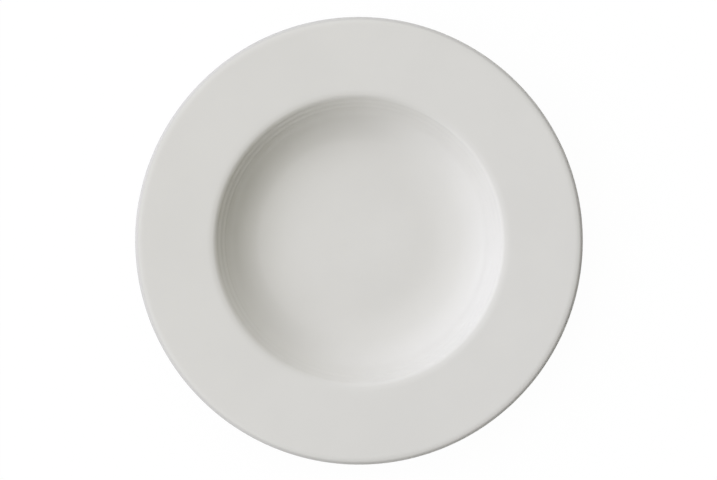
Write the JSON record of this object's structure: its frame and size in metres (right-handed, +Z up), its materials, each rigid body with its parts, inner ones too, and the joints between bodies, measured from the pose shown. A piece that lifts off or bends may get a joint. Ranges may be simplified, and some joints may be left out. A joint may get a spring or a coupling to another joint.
{
  "type": "rimmed soup plate",
  "caption": "Round rimmed soup plate in white glazed porcelain: a round-bottomed well, a wide almost level rim with a rounded edge, and a bare foot ring to stand on.",
  "frame": {"origin": "centre of the foot ring's standing face, where the plate touches the table", "axes": "+Z up along the plate's axis of revolution, out of the well; X and Y are equal"},
  "size_m": [0.24, 0.24, 0.03],
  "materials": {
    "bisque": "matt, fine-grained, unglazed fired porcelain",
    "glaze": "gloss, smooth white glaze"
  },
  "bodies": {
    "root": {"porcelain_body": "bisque", "glaze_coat": "glaze", "base_glaze": "glaze"}
  },
  "joints": []
}
